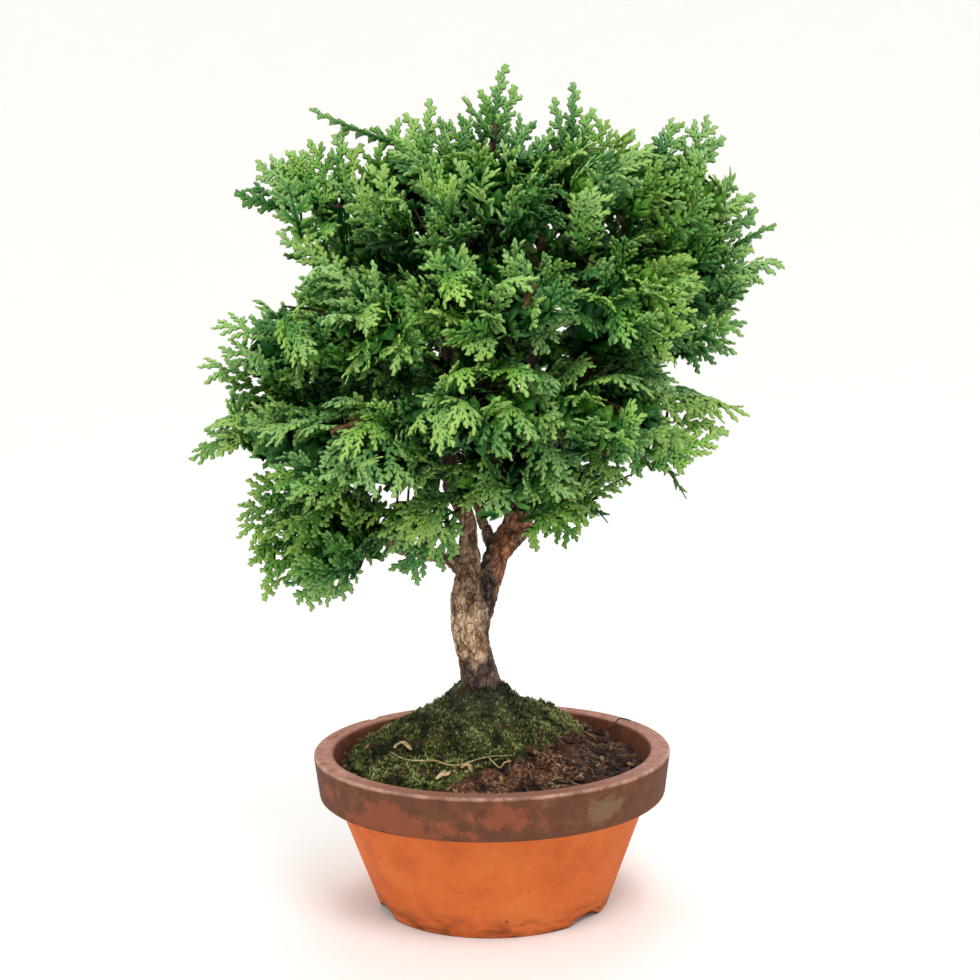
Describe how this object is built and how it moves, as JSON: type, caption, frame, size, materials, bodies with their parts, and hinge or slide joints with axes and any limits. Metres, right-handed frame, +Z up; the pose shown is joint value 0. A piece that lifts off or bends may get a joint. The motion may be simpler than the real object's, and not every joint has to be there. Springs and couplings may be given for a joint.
{
  "type": "hinoki cypress bonsai in a terracotta pot",
  "caption": "Small hinoki cypress bonsai with a forked trunk and layered flat sprays, on a mossy mound in a round terracotta pan.",
  "frame": {"origin": "on the pot's axis, at the level that the foot ring stands on", "axes": "+Z up along the pot's axis and the tree's height; -Y is the front, and +X is to the right seen from it"},
  "size_m": [0.2045, 0.1744, 0.2997],
  "materials": {
    "terracotta": "matte",
    "mesh_plastic": "matte",
    "soil": "matte",
    "moss": "matte",
    "bark": "matte",
    "foliage": "satin",
    "dry_straw": "matte",
    "dead_twig": "matte"
  },
  "bodies": {
    "root": {"drainage_mesh": "mesh_plastic", "dry_leaf": "dry_straw", "dry_stem": "dry_straw", "foliage_back_middle": "foliage", "foliage_back_upper": "foliage", "foliage_back_upper_left": "foliage", "foliage_back_upper_right": "foliage", "foliage_centre_front": "foliage", "foliage_front_upper": "foliage", "foliage_front_upper_left": "foliage", "foliage_front_upper_right": "foliage", "foliage_leader": "foliage", "foliage_left_back": "foliage", "foliage_left_front": "foliage", "foliage_left_tip": "foliage", "foliage_left_upper": "foliage", "foliage_lower_back_left": "foliage", "foliage_lower_back_right": "foliage", "foliage_lower_centre_left": "foliage", "foliage_lower_front": "foliage", "foliage_lower_left": "foliage", "foliage_lower_right": "foliage", "foliage_right_back": "foliage", "foliage_right_front": "foliage", "foliage_right_middle": "foliage", "foliage_right_spray": "foliage", "foliage_second_leader": "foliage", "foliage_top_back": "foliage", "foliage_top_back_right": "foliage", "foliage_top_front": "foliage", "foliage_top_left": "foliage", "foliage_top_left_fan": "foliage", "foliage_top_right": "foliage", "foliage_top_right_front": "foliage", "moss_carpet": "moss", "pot": "terracotta", "rim_twig": "dead_twig", "soil": "soil", "trunk_and_branches": "bark"}
  },
  "joints": []
}
